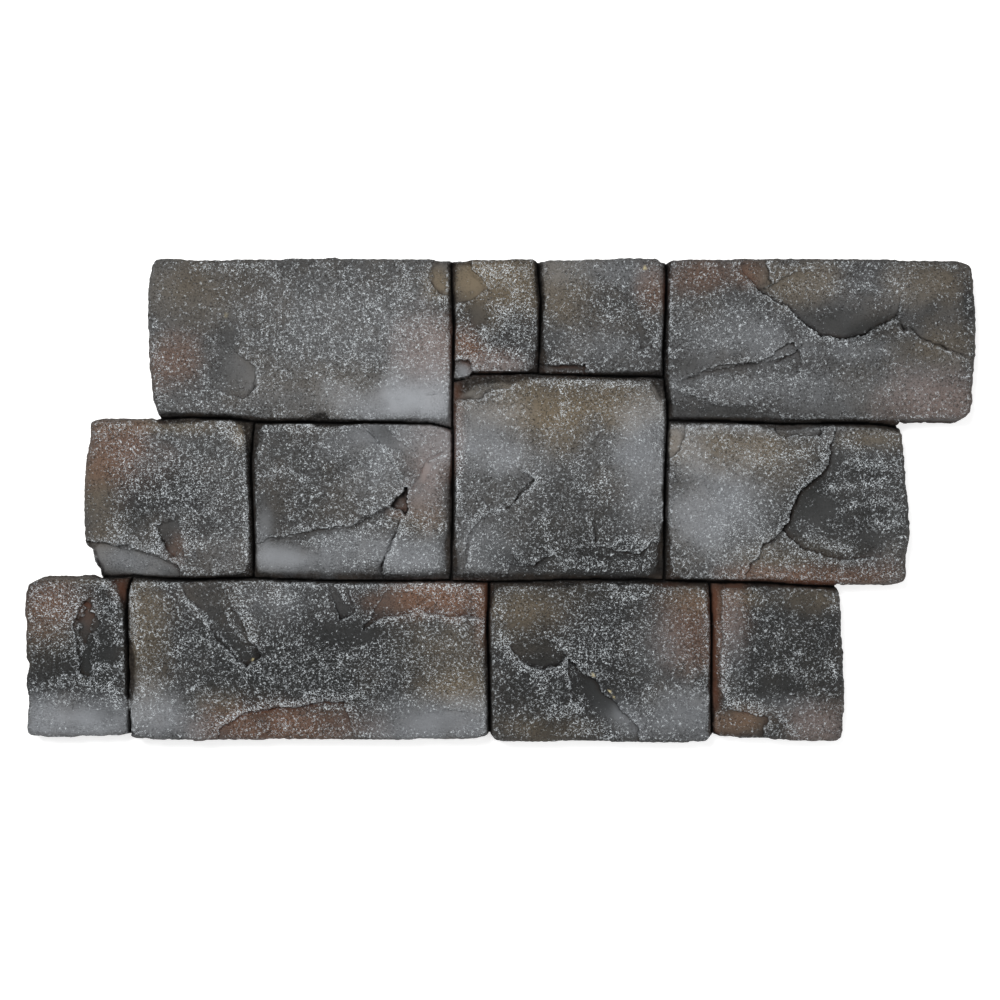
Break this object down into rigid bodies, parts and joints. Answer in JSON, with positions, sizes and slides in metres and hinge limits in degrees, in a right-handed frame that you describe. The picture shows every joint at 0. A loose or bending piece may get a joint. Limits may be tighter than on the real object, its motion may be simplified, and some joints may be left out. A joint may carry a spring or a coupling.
{
  "type": "faux stone wall panel",
  "caption": "Faux stone wall panel moulded in one piece: staggered courses of split-faced stones on one backing, with stepped ends that lock into the next panel.",
  "frame": {"origin": "back face (the face against the wall), at the middle of the panel's length and height", "axes": "right-handed; panel lies on its back; +X along the courses to the picture's right, +Y up the wall, +Z out of the stone faces"},
  "size_m": [1.2305, 0.6319, 0.0455],
  "materials": {
    "painted_foam": "moulded rigid polyurethane foam, airbrushed in greys, rust and tan, dark wash in the joints, dry-brushed light grain"
  },
  "bodies": {
    "root": {"panel": "painted_foam"}
  },
  "joints": []
}
